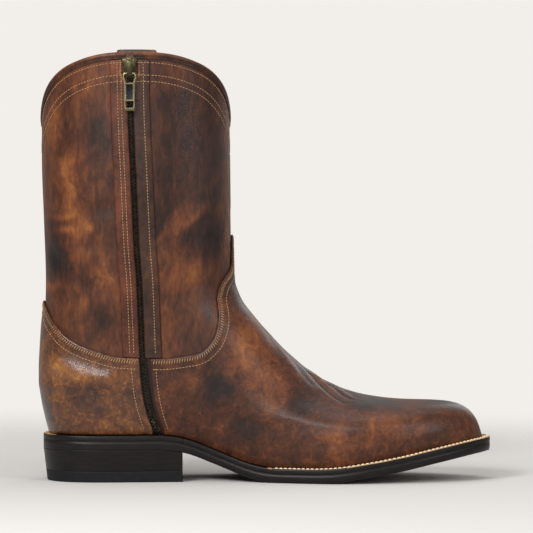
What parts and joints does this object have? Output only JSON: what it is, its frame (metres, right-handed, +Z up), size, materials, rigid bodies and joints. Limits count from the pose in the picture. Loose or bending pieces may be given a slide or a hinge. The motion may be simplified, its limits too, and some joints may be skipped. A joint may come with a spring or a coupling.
{
  "type": "roper boot",
  "caption": "Leather roper boot for the left foot with a scalloped collar, side zip, pull strap, round toe, stitched welt and low stacked heel.",
  "frame": {"origin": "on the floor under the middle of the heel's flat face", "axes": "+X to the toe, +Y to the outer side of the foot, +Z up"},
  "size_m": [0.3083, 0.1241, 0.2953],
  "materials": {
    "brown_leather": "distressed pull-up leather, semi-gloss",
    "dark_leather": "dark brown leather, semi-gloss",
    "tape_cloth": "black woven tape",
    "zip_chain": "blackened metal teeth",
    "aged_brass": "antique brass, satin",
    "insole_leather": "undyed leather, matt",
    "welt_leather": "natural leather edge, stitched",
    "edge_leather": "black dressed leather edge",
    "rubber": "black rubber, matt"
  },
  "bodies": {
    "boot": {"upper": "brown_leather", "vamp": "brown_leather", "counter": "brown_leather", "collar_binding": "dark_leather", "zip_facing_back": "brown_leather", "zip_facing_front": "dark_leather", "zip_tape": "tape_cloth", "zip_chain": "zip_chain", "zip_slider": "aged_brass", "pull_strap": "dark_leather", "insole": "insole_leather", "welt": "welt_leather", "heel_rand": "welt_leather", "outsole": "edge_leather", "heel_stack": "edge_leather", "top_lift": "rubber"},
    "pull_tab": {"pull_tab": "aged_brass"}
  },
  "joints": [
    {"name": "pull_tab_swing", "type": "hinge", "parent": "boot", "child": "pull_tab", "pos_m": [0.01282, -0.05899, 0.27513], "axis": [-0.9997, 0.0249, 0], "range_deg": [0, 144]}
  ]
}
